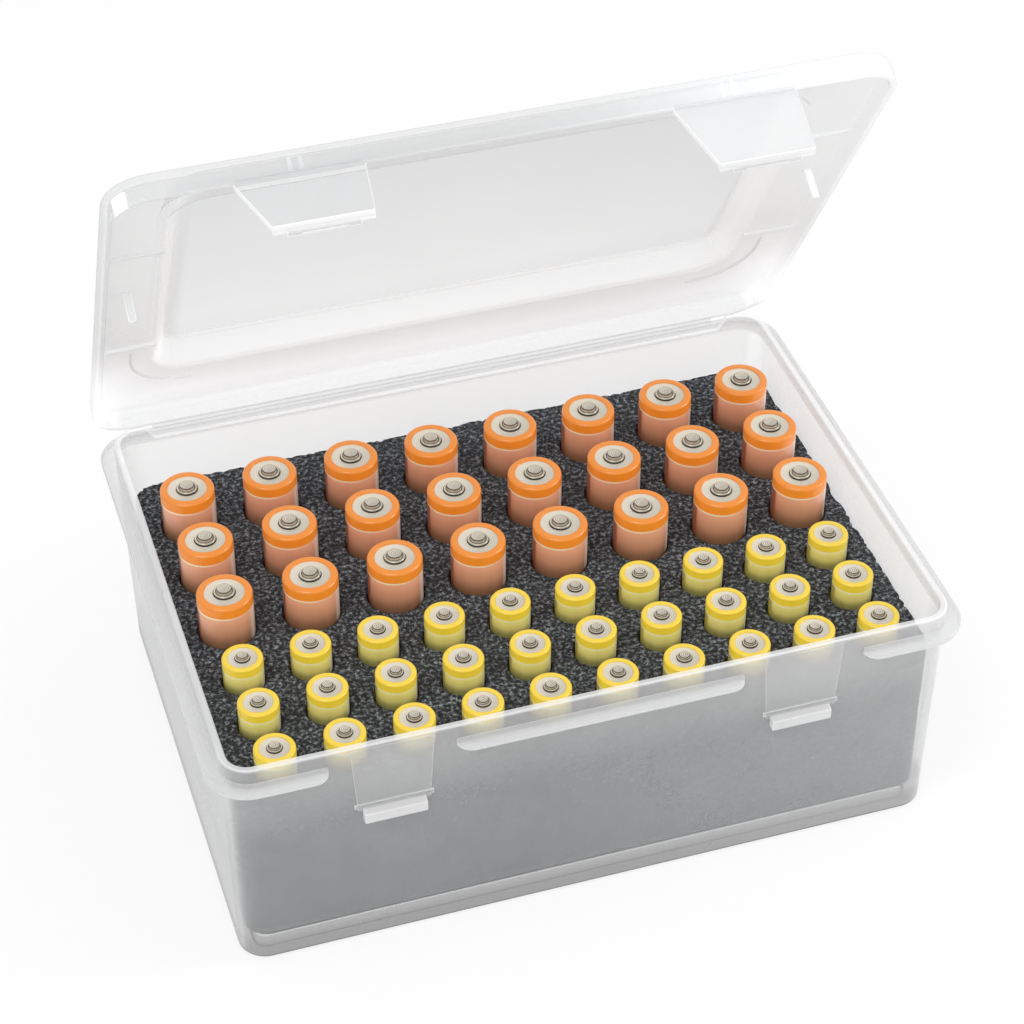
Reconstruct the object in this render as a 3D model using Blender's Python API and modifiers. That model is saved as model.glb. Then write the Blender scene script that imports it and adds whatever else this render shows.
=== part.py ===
"""Battery storage case: a clear hinged box with two latch flaps, a foam insert and 54 round cells.

Units are metres, +Z is up and the front of the case faces -Y. The origin lies in the middle of the
foot, on the surface that the case stands on. The lid is shown part open, as it is used.
"""

import math

import bmesh
import bpy
from mathutils import Matrix

# Driving sizes of the box, measured over its ledge and up to its rim.
case_length = 0.192
case_depth = 0.142
case_height = 0.0664

# Walls of the box.
wall = 0.0019
wall_draft = 0.0010
ledge_reach = 0.0038
ledge_drop = 0.0040
ledge_thickness = 0.0018
ledge_corner_radius = 0.0110
ledge_under_bevel = 0.0007
floor_thickness = 0.0020
foot_lift = 0.0040
foot_width = 0.0042
foot_fillet = 0.0012
floor_fillet = 0.0020

# The stretch at the back where the rim is lowered so that the film hinge can fold.
hinge_length_share = 0.833
hinge_rim_left = 0.0004

# The latch bays at the front: a gap in the ledge, a flat pad and a catch bar below it.
latch_spacing_share = 0.5417
pad_top_width = 0.0206
pad_foot_width = 0.0180
pad_proud = 0.0003
pad_rim_step = 0.0002
pad_stub_reach = 0.0008
pad_stub_height = 0.0014
catch_drop = 0.0201
catch_ramp = 0.0008
catch_height = 0.0038
catch_width = 0.0156

# The lid: a border plate with a skirt, and a raised panel in its middle.
lid_wall = 0.0018
lid_skirt_height = 0.0068
lid_top_round = 0.0020
panel_rise = 0.0065
panel_slope = 0.0042
panel_side_border = 0.0142
panel_front_border = 0.0142
panel_back_border = 0.0232
panel_radius = 0.0124
panel_edge_round = 0.0012
lid_open_degrees = 58.5

# Small ribs and locating tabs inside the lid.
border_rib_height = 0.0008
border_rib_thickness = 0.0012
border_rib_place_shares = (0.322, 0.717)
tab_width = 0.0026
tab_thickness = 0.0014
tab_drop = 0.0032
tab_wall_gap = 0.0005
tab_place_share = 0.57
skirt_gusset_thickness = 0.0009
skirt_gusset_spacing = 0.0026

# The latch flaps, which hang from the lid's skirt on a film hinge.
flap_root_width = 0.0308
flap_free_width = 0.0234
flap_thickness = 0.0015
flap_open_left_degrees = 37.0
flap_open_right_degrees = 25.5
flap_lip = 0.0009
hook_width = 0.0170
hook_thickness = 0.0016
hook_wall_gap = 0.0004
hook_lead = 0.0007
hook_pocket_depth = 0.0008
hook_pocket_share = 0.62

# The foam insert and its blind holes.
foam_rim_drop = 0.0140
foam_back_gap = 0.0045
foam_corner_radius = 0.0060
hole_floor_thickness = 0.0087
small_hole_step = 0.0008
hole_clearance = 0.0003

# Two sizes of round cell.
aa_diameter = 0.0142
aa_length = 0.0505
aa_nub_diameter = 0.0054
aa_nub_height = 0.0012
aaa_diameter = 0.0103
aaa_length = 0.0445
aaa_nub_diameter = 0.0037
aaa_nub_height = 0.0009
crimp_share = 0.045
aa_columns = 8
aa_rows = 3
aaa_columns = 10
aaa_rows = 3

# Where the rows of cells lie, as shares of the foam's depth, and the side margins of its length.
aaa_first_row_share = 0.0788
aaa_row_pitch_share = 0.1322
bank_step_share = 0.1572
aa_row_pitch_share = 0.1718
aa_side_margin_share = 0.0669
aaa_side_margin_share = 0.0650

# Gaps between pieces that touch or fold, and how far cutters run past what they cut.
seat_gap = 0.0003
overrun = 0.0020

# Facets of round forms.
corner_segments = 7
small_segments = 2
aa_sides = 16
aaa_sides = 12

# Sizes worked out from those above.
half_length = case_length / 2
half_depth = case_depth / 2
neck_half_length = half_length - ledge_reach
neck_half_depth = half_depth - ledge_reach
neck_corner_radius = ledge_corner_radius - ledge_reach
pocket_corner_radius = neck_corner_radius - wall
ledge_top = case_height - ledge_drop
ledge_bottom = ledge_top - ledge_thickness
floor_top = foot_lift + floor_thickness
latch_offset = case_length * latch_spacing_share / 2
hinge_half_length = case_length * hinge_length_share / 2

axis_y = half_depth + seat_gap / 2
axis_z = ledge_top + seat_gap / 2
lid_edge = seat_gap / 2
lid_border_top = lid_edge + lid_skirt_height
lid_border_inside = lid_border_top - lid_wall
lid_depth = case_depth
lid_back = -seat_gap / 2
lid_front = lid_back - lid_depth
panel_front = lid_front + panel_front_border
panel_back = lid_back - panel_back_border
panel_half_length = half_length - panel_side_border

catch_top = case_height - catch_drop
catch_bottom = catch_top - catch_height
flap_inner_face = half_depth - flap_thickness
catch_front = flap_inner_face - seat_gap
hook_top = axis_z - (catch_bottom - seat_gap)
flap_length = hook_top + hook_thickness


def shrink_at(height):
    """How far the wall has drawn in at a height, because the mould needs draft."""
    return wall_draft * (1 - height / case_height)


foam_bottom = floor_top + seat_gap
foam_top = case_height - foam_rim_drop
foam_half_length = neck_half_length - wall - shrink_at(floor_top) - seat_gap
foam_front = -(neck_half_depth - wall - shrink_at(floor_top) - seat_gap)
foam_back = -foam_front - foam_back_gap
foam_depth = foam_back - foam_front
hole_bottom = foam_bottom + hole_floor_thickness
small_hole_bottom = hole_bottom + small_hole_step


def clear_scene():
    """Remove every object and collection that is already in the file."""
    for old in list(bpy.data.objects):
        bpy.data.objects.remove(old, do_unlink=True)
    for old in list(bpy.data.collections):
        bpy.data.collections.remove(old)


def new_collection(name):
    """Make a collection that hangs in the scene."""
    made = bpy.data.collections.new(name)
    bpy.context.scene.collection.children.link(made)
    return made


def make_material(name, colour, roughness, metallic=0.0, alpha=1.0):
    """Make a plain Principled material."""
    material = bpy.data.materials.new(name)
    material.use_nodes = True
    shader = material.node_tree.nodes["Principled BSDF"]
    shader.inputs["Base Color"].default_value = (*colour, 1.0)
    shader.inputs["Roughness"].default_value = roughness
    shader.inputs["Metallic"].default_value = metallic
    shader.inputs["Alpha"].default_value = alpha
    return material


def object_from_bmesh(name, shape, collection):
    """Turn a bmesh into an object with faces that point out."""
    bmesh.ops.recalc_face_normals(shape, faces=shape.faces)
    mesh = bpy.data.meshes.new(name)
    shape.to_mesh(mesh)
    shape.free()
    made = bpy.data.objects.new(name, mesh)
    collection.objects.link(made)
    return made


def hide_cutter(cutter):
    """Mark an object as a helper that only shapes others."""
    cutter.hide_render = True
    cutter.display_type = "WIRE"
    return cutter


def level_edges(shape, height):
    """The edges of a bmesh that lie at one height."""
    close = seat_gap / 10
    return [edge for edge in shape.edges if all(abs(v.co.z - height) < close for v in edge.verts)]


def block(name, collection, x_range, y_range, z_range, corner=0.0, top_inset=0.0, bottom_inset=0.0,
          top_round=0.0, bottom_round=0.0):
    """A box between ranges, with drawn-in ends, rounded upright corners and rounded rims."""
    shape = bmesh.new()
    bmesh.ops.create_cube(shape, size=1.0)
    for vert in shape.verts:
        inset = top_inset if vert.co.z > 0 else bottom_inset
        vert.co.x = x_range[1] - inset if vert.co.x > 0 else x_range[0] + inset
        vert.co.y = y_range[1] - inset if vert.co.y > 0 else y_range[0] + inset
        vert.co.z = z_range[1] if vert.co.z > 0 else z_range[0]
    if corner > 0:
        upright = [edge for edge in shape.edges if abs(edge.verts[0].co.z - edge.verts[1].co.z) > seat_gap]
        bmesh.ops.bevel(shape, geom=upright, offset=corner, segments=corner_segments, profile=0.5,
                        affect="EDGES", clamp_overlap=True)
    if top_round > 0:
        bmesh.ops.bevel(shape, geom=level_edges(shape, z_range[1]), offset=top_round,
                        segments=small_segments, profile=0.5, affect="EDGES", clamp_overlap=True)
    if bottom_round > 0:
        bmesh.ops.bevel(shape, geom=level_edges(shape, z_range[0]), offset=bottom_round,
                        segments=small_segments, profile=0.5, affect="EDGES", clamp_overlap=True)
    return object_from_bmesh(name, shape, collection)


def evaluated_mesh(source):
    """Take the mesh that an object shows with its modifiers, and remove the object."""
    bpy.context.view_layer.update()
    mesh = bpy.data.meshes.new_from_object(source.evaluated_get(bpy.context.evaluated_depsgraph_get()))
    bpy.data.objects.remove(source, do_unlink=True)
    return mesh


def flat_solid(name, collection, outline, span):
    """An outline given as (x, y) points and made solid over a span of heights, by a filled 2D curve."""
    curve = bpy.data.curves.new(name, "CURVE")
    curve.dimensions = "2D"
    curve.fill_mode = "BOTH"
    curve.extrude = (span[1] - span[0]) / 2
    spline = curve.splines.new("POLY")
    spline.points.add(len(outline) - 1)
    for point, (x, y) in zip(spline.points, outline):
        point.co = (x, y, 0, 1)
    spline.use_cyclic_u = True
    drawn = bpy.data.objects.new(f"{name}_outline", curve)
    collection.objects.link(drawn)
    shape = bmesh.new()
    shape.from_mesh(evaluated_mesh(drawn))
    bmesh.ops.remove_doubles(shape, verts=shape.verts, dist=seat_gap / 10)
    bmesh.ops.translate(shape, verts=shape.verts, vec=(0, 0, (span[0] + span[1]) / 2))
    return object_from_bmesh(name, shape, collection)


def wedge(name, collection, section, x_range):
    """A bar along X whose section is given as (y, z) points."""
    made = flat_solid(name, collection, section, x_range)
    made.data.transform(Matrix(((0, 0, 1), (1, 0, 0), (0, 1, 0))).to_4x4())
    return made


def cut(target, tool, operation="DIFFERENCE"):
    """Cut one object with another, or join them. The tool rides with the object that it shapes."""
    modifier = target.modifiers.new(f"{operation.lower()}_{tool.name}", "BOOLEAN")
    modifier.operation = operation
    modifier.solver = "EXACT"
    modifier.object = tool
    tool.parent = target
    hide_cutter(tool)


def finish(part, material):
    """Give a part its material and smooth shading with sharp corners kept."""
    part.data.materials.append(material)
    part.data.shade_smooth()
    part.data.set_sharp_from_angle(angle=math.radians(30))
    return part


def latch_places():
    """Names and X places of the two latches."""
    return (("left", -latch_offset), ("right", latch_offset))


def flap_degrees(side):
    """How far a latch flap hangs open. The two are left at different angles, as a hand leaves them."""
    return flap_open_left_degrees if side == "left" else flap_open_right_degrees


def ledge_gap_outline(x):
    """A gap in the ledge whose ends leave the ledge rounded off towards the neck."""
    radius = ledge_reach - seat_gap
    half_gap = flap_root_width / 2 + seat_gap
    centre_y = -(half_depth - radius)
    arc = [math.radians(90 * step / corner_segments) for step in range(corner_segments + 1)]
    right = [(half_gap + radius - radius * math.cos(a), centre_y - radius * math.sin(a)) for a in arc]
    right.append((half_gap + radius, -half_depth - overrun))
    start = [(half_gap, -(neck_half_depth - wall - overrun))]
    side = start + right
    return [(x + px, py) for px, py in side] + [(x - px, py) for px, py in reversed(side)]


def make_ledge(tools):
    """The ledge on which the lid's skirt stands, with a gap at each latch."""
    ledge = block("ledge_slab", tools, (-half_length, half_length), (-half_depth, half_depth),
                  (ledge_bottom, ledge_top), corner=ledge_corner_radius, bottom_round=ledge_under_bevel)
    for side, x in latch_places():
        cut(ledge, flat_solid(f"ledge_gap_{side}", tools, ledge_gap_outline(x),
                              (ledge_bottom - overrun, ledge_top + overrun)))
    return ledge


def make_pad(side, x, tools):
    """The flat pad that runs down from the rim to the catch bar, a little narrower at its foot."""
    root = -(neck_half_depth - wall / 2 - shrink_at(catch_bottom))
    pad = block(f"pad_{side}", tools, (x - pad_top_width / 2, x + pad_top_width / 2),
                (-neck_half_depth - pad_proud, root), (catch_top - catch_ramp, case_height - pad_rim_step))
    narrower = (pad_top_width - pad_foot_width) / 2
    for vert in pad.data.vertices:
        if vert.co.z < catch_top:
            vert.co.x += narrower if vert.co.x < x else -narrower
    return pad


def make_pad_stub(side, x, tools):
    """The short lip that spreads the foot of the pad to each side."""
    root = -(neck_half_depth - wall / 2 - shrink_at(catch_bottom))
    half = pad_foot_width / 2 + pad_stub_reach
    return block(f"pad_stub_{side}", tools, (x - half, x + half), (-neck_half_depth - pad_proud, root),
                 (catch_top, catch_top + pad_stub_height))


def make_catch(side, x, tools):
    """The catch bar: a top that slopes out and down, and a flat underside for the hook."""
    root = -(neck_half_depth - wall / 2 - shrink_at(catch_bottom))
    section = [(root, catch_bottom), (-catch_front, catch_bottom), (-catch_front, catch_top - catch_ramp),
               (-neck_half_depth, catch_top), (root, catch_top)]
    return wedge(f"catch_{side}", tools, section, (x - catch_width / 2, x + catch_width / 2))


def make_case_box(parts, tools, material):
    """The box: drafted walls, neck, ledge, latch pads, catch bars and a raised floor on a foot ring."""
    box = block("case_box", parts, (-neck_half_length, neck_half_length),
                (-neck_half_depth, neck_half_depth), (0, case_height), corner=neck_corner_radius,
                bottom_inset=wall_draft, bottom_round=foot_fillet)
    cut(box, make_ledge(tools), "UNION")
    for side, x in latch_places():
        cut(box, make_pad(side, x, tools), "UNION")
        cut(box, make_pad_stub(side, x, tools), "UNION")
        cut(box, make_catch(side, x, tools), "UNION")
    pocket_top = case_height + overrun
    pocket = block("box_pocket", tools, (-neck_half_length + wall, neck_half_length - wall),
                   (-neck_half_depth + wall, neck_half_depth - wall), (floor_top, pocket_top),
                   corner=pocket_corner_radius, bottom_inset=shrink_at(floor_top),
                   top_inset=shrink_at(pocket_top), bottom_round=floor_fillet)
    cut(box, pocket)
    foot_half_length = neck_half_length - wall_draft - foot_width
    foot_half_depth = neck_half_depth - wall_draft - foot_width
    foot_recess = block("foot_recess", tools, (-foot_half_length, foot_half_length),
                        (-foot_half_depth, foot_half_depth), (-overrun, foot_lift),
                        corner=pocket_corner_radius, top_inset=foot_fillet)
    cut(box, foot_recess)
    notch = block("hinge_notch", tools, (-hinge_half_length, hinge_half_length),
                  (neck_half_depth - wall - overrun, half_depth + overrun),
                  (ledge_top + hinge_rim_left, case_height + overrun))
    cut(box, notch)
    return finish(box, material)


def lid_form(name, tools, inset):
    """The lid's outer form, or with an inset its hollow, as a border block and a sloped panel block."""
    low = lid_edge if inset == 0 else lid_edge - overrun
    border_top = lid_border_top - inset
    border = block(f"{name}_border", tools, (-half_length + inset, half_length - inset),
                   (lid_front + inset, lid_back - inset), (low, border_top),
                   corner=ledge_corner_radius - inset, top_round=max(lid_top_round - inset, 0))
    panel = block(f"{name}_panel", tools, (-panel_half_length + inset, panel_half_length - inset),
                  (panel_front + inset, panel_back - inset),
                  (border_top - inset / 2 - lid_top_round, border_top + panel_rise),
                  corner=panel_radius - inset, top_inset=panel_slope, top_round=panel_edge_round)
    return border, panel


def lid_rib_blocks(tools):
    """Low ribs across the side borders of the lid, from the panel to the skirt."""
    ribs = []
    rib_z = (lid_border_inside - border_rib_height, lid_border_inside + lid_wall / 2)
    inner = panel_half_length - lid_wall - panel_slope / 2
    outer = half_length - lid_wall / 2
    for share in border_rib_place_shares:
        y = lid_back - lid_depth * share
        y_range = (y - border_rib_thickness / 2, y + border_rib_thickness / 2)
        for side, x_range in (("left", (-outer, -inner)), ("right", (inner, outer))):
            ribs.append(block(f"rib_{side}_{share}", tools, x_range, y_range, rib_z))
    return ribs


def lid_tab_blocks(tools):
    """A locating tab at each end of the lid, which slips inside the rim."""
    tabs = []
    y = lid_back - lid_depth * tab_place_share
    outer = neck_half_length - wall - tab_wall_gap
    for side, sign in (("left", -1), ("right", 1)):
        x_range = sorted((sign * outer, sign * (outer - tab_width)))
        tabs.append(block(f"tab_{side}", tools, x_range, (y - tab_thickness / 2, y + tab_thickness / 2),
                          (lid_edge - tab_drop, lid_border_inside + lid_wall / 2), bottom_inset=seat_gap))
    return tabs


def skirt_gusset_blocks(tools):
    """A pair of fine upright gussets on the skirt above each latch."""
    gussets = []
    for side, x in latch_places():
        for step, shift in enumerate((-skirt_gusset_spacing / 2, skirt_gusset_spacing / 2)):
            y_range = (lid_front + lid_wall / 2, lid_front + lid_wall + skirt_gusset_thickness)
            x_range = (x + shift - skirt_gusset_thickness / 2, x + shift + skirt_gusset_thickness / 2)
            gussets.append(block(f"gusset_{side}_{step}", tools, x_range, y_range,
                                 (lid_edge + lid_wall, lid_border_inside + lid_wall / 2)))
    return gussets


def make_lid(parts, tools, material):
    """The lid: one moulding with a skirt, a raised panel, border ribs, gussets and two tabs."""
    lid, panel = lid_form("lid", tools, 0.0)
    hollow_border, hollow_panel = lid_form("lid_hollow", tools, lid_wall)
    tools.objects.unlink(lid)
    parts.objects.link(lid)
    lid.name = "lid"
    cut(lid, panel, "UNION")
    cut(lid, hollow_border)
    cut(lid, hollow_panel)
    for added in lid_rib_blocks(tools) + lid_tab_blocks(tools) + skirt_gusset_blocks(tools):
        cut(lid, added, "UNION")
    lid.location = (0, axis_y, axis_z)
    lid.rotation_euler.x = -math.radians(lid_open_degrees)
    return finish(lid, material)


def make_latch(side, x, lid, parts, tools, material):
    """A latch flap: a tapering plate with a lip and a hook along its free edge, origin on its film hinge."""
    flap = block(f"latch_{side}", parts, (-flap_root_width / 2, flap_root_width / 2), (0, flap_thickness),
                 (-flap_length, -lid_edge))
    narrower = (flap_root_width - flap_free_width) / 2
    for vert in flap.data.vertices:
        if vert.co.z < -hook_top:
            vert.co.x += narrower if vert.co.x < 0 else -narrower
    hook_reach = half_depth - neck_half_depth + shrink_at(catch_bottom) - hook_wall_gap
    root = flap_thickness / 2
    section = [(root, -flap_length), (hook_reach - hook_lead, -flap_length),
               (hook_reach, -flap_length + hook_lead), (hook_reach, -hook_top), (root, -hook_top)]
    cut(flap, wedge(f"hook_{side}", tools, section, (-hook_width / 2, hook_width / 2)), "UNION")
    lip = block(f"lip_{side}", tools, (-flap_free_width / 2, flap_free_width / 2),
                (root, flap_thickness + flap_lip), (-flap_length, -hook_top))
    cut(flap, lip, "UNION")
    half_pocket = hook_width * hook_pocket_share / 2
    pocket = block(f"hook_pocket_{side}", tools, (-half_pocket, half_pocket),
                   (flap_thickness, hook_reach - hook_lead),
                   (-flap_length - overrun, -flap_length + hook_pocket_depth))
    cut(flap, pocket)
    flap.parent = lid
    flap.location = (x, lid_front, 0)
    flap.rotation_euler.x = -math.radians(flap_degrees(side))
    return finish(flap, material)


def row_places(count, first, pitch):
    """Evenly stepped places along one direction."""
    return [first + pitch * step for step in range(count)]


def column_places(count, margin_share):
    """Places along X, spread evenly between the side margins of the foam."""
    margin = 2 * foam_half_length * margin_share
    pitch = (2 * foam_half_length - 2 * margin) / (count - 1)
    return row_places(count, -foam_half_length + margin, pitch)


def cell_grid(kind):
    """The X and Y places of one bank of cells, front row first."""
    aaa_first = foam_front + foam_depth * aaa_first_row_share
    aaa_pitch = foam_depth * aaa_row_pitch_share
    if kind == "aaa":
        rows = row_places(aaa_rows, aaa_first, aaa_pitch)
        columns = column_places(aaa_columns, aaa_side_margin_share)
    else:
        aa_first = aaa_first + aaa_pitch * (aaa_rows - 1) + foam_depth * bank_step_share
        rows = row_places(aa_rows, aa_first, foam_depth * aa_row_pitch_share)
        columns = column_places(aa_columns, aa_side_margin_share)
    return [(row, column, x, y) for row, y in enumerate(rows) for column, x in enumerate(columns)]


def hole_floor(kind):
    """The height of the floor of a bank's holes. The small cells stand a little higher."""
    return small_hole_bottom if kind == "aaa" else hole_bottom


def add_hole_cylinders(shape, kind, diameter, sides):
    """Add one bank's hole cutters to a bmesh."""
    depth = foam_top - hole_floor(kind) + overrun
    radius = diameter / 2 + hole_clearance
    for _, _, x, y in cell_grid(kind):
        made = bmesh.ops.create_cone(shape, cap_ends=True, segments=sides, radius1=radius, radius2=radius,
                                     depth=depth)
        bmesh.ops.translate(shape, verts=made["verts"], vec=(x, y, hole_floor(kind) + depth / 2))


def make_foam(parts, tools, material):
    """The foam block with a blind hole for every cell."""
    foam = block("foam_insert", parts, (-foam_half_length, foam_half_length), (foam_front, foam_back),
                 (foam_bottom, foam_top), corner=foam_corner_radius, bottom_round=floor_fillet)
    shape = bmesh.new()
    add_hole_cylinders(shape, "aa", aa_diameter, aa_sides)
    add_hole_cylinders(shape, "aaa", aaa_diameter, aaa_sides)
    cut(foam, object_from_bmesh("foam_holes", shape, tools))
    return finish(foam, material)


def cell_mesh(name, diameter, length, nub_diameter, nub_height, sides):
    """One cell turned about Z by a Screw modifier: a can with a crimped shoulder and a raised terminal."""
    radius = diameter / 2
    crimp = diameter * crimp_share
    shoulder = length - nub_height
    profile = [(0, length), (nub_diameter / 2, length), (nub_diameter / 2, shoulder),
               (radius - crimp, shoulder), (radius, shoulder - crimp), (radius, 0), (0, 0)]
    line = bpy.data.meshes.new(f"{name}_profile")
    line.from_pydata([(x, 0, z) for x, z in profile], [(n, n + 1) for n in range(len(profile) - 1)], [])
    turned = bpy.data.objects.new(f"{name}_turned", line)
    bpy.context.scene.collection.objects.link(turned)
    screw = turned.modifiers.new("turn", "SCREW")
    screw.axis = "Z"
    screw.steps = sides
    screw.render_steps = sides
    screw.use_merge_vertices = True
    screw.merge_threshold = seat_gap / 10
    mesh = evaluated_mesh(turned)
    mesh.name = name
    mesh.shade_smooth()
    mesh.set_sharp_from_angle(angle=math.radians(30))
    return mesh


def make_cells(kind, mesh, material, parts):
    """Stand one cell in every hole of a bank."""
    mesh.materials.append(material)
    for row, column, x, y in cell_grid(kind):
        cell = bpy.data.objects.new(f"{kind}_battery_r{row + 1}_c{column + 1:02d}", mesh)
        parts.objects.link(cell)
        cell.location = (x, y, hole_floor(kind) + seat_gap)


def main():
    """Build the case, its lid and latches, the foam and the cells."""
    clear_scene()
    parts = new_collection("battery_storage_case")
    tools = new_collection("cutters")
    clear_plastic = make_material("clear_polypropylene", (0.86, 0.87, 0.87), 0.35, alpha=0.45)
    lid_plastic = make_material("clear_polypropylene_lid", (0.88, 0.89, 0.89), 0.32, alpha=0.35)
    foam_black = make_material("charcoal_foam", (0.035, 0.036, 0.038), 0.95)
    orange = make_material("orange_sleeve", (0.86, 0.24, 0.04), 0.38)
    yellow = make_material("yellow_sleeve", (0.86, 0.62, 0.05), 0.38)
    make_case_box(parts, tools, clear_plastic)
    lid = make_lid(parts, tools, lid_plastic)
    for side, x in latch_places():
        make_latch(side, x, lid, parts, tools, lid_plastic)
    make_foam(parts, tools, foam_black)
    aa_mesh = cell_mesh("aa_cell", aa_diameter, aa_length, aa_nub_diameter, aa_nub_height, aa_sides)
    aaa_mesh = cell_mesh("aaa_cell", aaa_diameter, aaa_length, aaa_nub_diameter, aaa_nub_height, aaa_sides)
    make_cells("aa", aa_mesh, orange, parts)
    make_cells("aaa", aaa_mesh, yellow, parts)


main()
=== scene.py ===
"""Dresses the battery storage case: clear shells, latch flaps, film hinges, foam and round cells."""

import math
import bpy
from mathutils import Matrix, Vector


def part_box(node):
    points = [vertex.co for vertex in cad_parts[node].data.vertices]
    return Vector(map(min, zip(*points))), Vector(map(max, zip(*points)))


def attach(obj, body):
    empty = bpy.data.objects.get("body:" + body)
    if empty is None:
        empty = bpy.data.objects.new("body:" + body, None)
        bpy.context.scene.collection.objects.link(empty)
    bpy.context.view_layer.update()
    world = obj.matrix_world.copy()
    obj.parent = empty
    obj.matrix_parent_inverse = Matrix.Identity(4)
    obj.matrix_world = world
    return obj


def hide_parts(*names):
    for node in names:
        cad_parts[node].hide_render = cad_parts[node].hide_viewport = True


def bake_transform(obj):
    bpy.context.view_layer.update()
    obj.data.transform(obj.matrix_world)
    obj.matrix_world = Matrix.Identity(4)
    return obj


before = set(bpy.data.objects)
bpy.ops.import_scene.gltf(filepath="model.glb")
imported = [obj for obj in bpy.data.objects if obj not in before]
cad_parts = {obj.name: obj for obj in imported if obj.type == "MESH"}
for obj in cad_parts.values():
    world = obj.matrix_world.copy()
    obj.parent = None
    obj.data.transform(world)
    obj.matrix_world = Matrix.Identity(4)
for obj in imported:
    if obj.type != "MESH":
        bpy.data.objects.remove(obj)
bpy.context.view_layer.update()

from types import SimpleNamespace

import bmesh
import bpy
from bpy.props import FloatProperty, FloatVectorProperty, IntProperty, PointerProperty
from mathutils import Matrix, Vector, noise

bl_info = {
    "name": "Battery Storage Case",
    "version": (1, 0, 0),
    "blender": (4, 5, 0),
    "location": "View3D > Sidebar > Case",
    "description": "Builds a clear hinged battery case with its foam, cells and studio stage",
    "category": "Object",
}

# The box. All lengths are in metres.
HALF_LENGTH = 0.0960
HALF_DEPTH = 0.0710
RIM_TOP = 0.0664
REACH = 0.0038  # of the ledge, out from the neck
NECK_X = HALF_LENGTH - REACH
NECK_Y = HALF_DEPTH - REACH
NECK_RADIUS = 0.0072
DRAFT = 0.0010
WALL = 0.0019
FLOOR_TOP = 0.0060
FLOOR_FILLET = 0.0020
FOOT_LIFT = 0.0040
FOOT_WIDTH = 0.0042
FOOT_ROUND = 0.0012
FOOT_LIP = 0.0006
LEDGE_TOP = 0.0624
LEDGE_BOTTOM = 0.0606
HINGE_X = 0.0800
RIM_EASE = 0.0030  # the run over which the rim drops at each end of the hinge
RIM_LEFT = 0.0004  # the part of the rim that is left there above the ledge
LATCH_X = 0.0520
GAP = 0.0003  # between pieces that seat on each other

# The latch pads and catch bars on the front of the box.
PAD_FACE = -NECK_Y - 0.0003
PAD_ROOT = -NECK_Y + 0.0006
PAD_TOP = RIM_TOP - 0.0006
PAD_FOOT = 0.0455
PAD_HALF_TOP = 0.0103
PAD_HALF_FOOT = 0.0090
LIP_FOOT = 0.0463
LIP_TOP = 0.0477
LIP_OVERHANG = 0.0008
CATCH_FACE = -0.0692
CATCH_FOOT = 0.0425
CATCH_HALF = 0.0078

# The lid, in its own space: its hinge along X, its latches towards -Y and its top towards Z.
AXIS = Vector((0, 0.07115, 0.06255))
LID_PLACE = Matrix.Translation(AXIS) @ Matrix.Rotation(-math.radians(58.5), 4, "X")
LID_DEPTH = 0.142
LID_BACK = -0.00015
LID_FRONT = -0.14215
LID_RADIUS = 0.0110
LID_WALL = 0.0018
LID_TOP = 0.00695
LID_INSIDE = LID_TOP - LID_WALL
LID_EDGE = 0.00015
LID_STOPS = (-0.050, 0.0, 0.050)
PANEL_X = 0.0818
PANEL_Y = (-0.12795, -0.02335)
PANEL_RADIUS = 0.0124
PANEL_RISE = 0.0065
PANEL_SLOPE = 0.0042
RIB_SHARES = {"low": 0.322, "high": 0.717}  # of the lid's depth, from its hinge
RIB_NEAR = 0.0945
RIB_FAR = 0.0798
CORNER_RIB_OUT = 0.0042
TAB_SHARE = 0.57
TAB_X = (0.0898, 0.0872)
TAB_FOOT = -0.0030
GUSSET_STEP = 0.0013

# The latch flaps, each in its own space, hanging from its fold.
FLAP_OPEN = {"left": math.radians(37.0), "right": math.radians(25.5)}
FLAP_ROOT = 0.0154
FLAP_FOOT = 0.0117
FLAP_THICK = 0.0015
FLAP_END = -0.02195
FLAP_LIP = FLAP_THICK + 0.0009
HOOK_TOP = -0.02035
HOOK_TIP = 0.00376
HOOK_HALF = 0.0085

# The film hinges: (y, z) points on the box and in the lid's space, and places along a flap's fold.
FILM_ON_BOX = ((0.07090, 0.0619), (0.07098, 0.0623))
FILM_ON_LID = ((-0.00012, 0.0001), (-0.00010, 0.0006))
FILM_DEPTH = 0.00015
FILM_RUN = (0.0008, 0.0003)

# The cells: the band and seat are the depth of the sleeve's bright band and the height where the foam starts.
CELLS = {
    "aa": SimpleNamespace(radius=0.0071, length=0.0505, nub=0.0027, rise=0.0012, band=0.0030, seat=0.0371),
    "aaa": SimpleNamespace(radius=0.00515, length=0.0445, nub=0.00185, rise=0.0009, band=0.0024, seat=0.0363),
}
FRONT_ROW_Y = -0.050  # cells nearer to the front wall than this stand in its shade
FOAM_CORNER = 0.0060
HOLE_FLARE = 0.0006

# The studio. The lens and the picture are in pixels of the photograph, and the sensor in millimetres.
LENS_PIXELS = 2800
PICTURE_PIXELS = 1024
SENSOR = 36
CAMERA_PLACE = (-0.1667, -0.5204, 0.5286)
CAMERA_VIEW = (0.2319, 0.7294, -0.6436)
LAMPS = {  # place, size and power
    "key_lamp": ((-0.5, -0.5, 1.1), (0.7, 0.7), 5.0),
    "side_lamp": ((0.9, -0.2, 0.5), (0.3, 0.7), 3.0),
}
LAMP_AIM = (0, 0, 0.05)
SKY_STRENGTH = 0.80
SKY_LIFT = 0.16  # added where the camera sees the sky, so that it meets the floor in one tone
FLOOR_SIZE = 4.0
FLOOR_DROP = 0.0002
FLOOR_GLOW = 0.80

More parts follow.
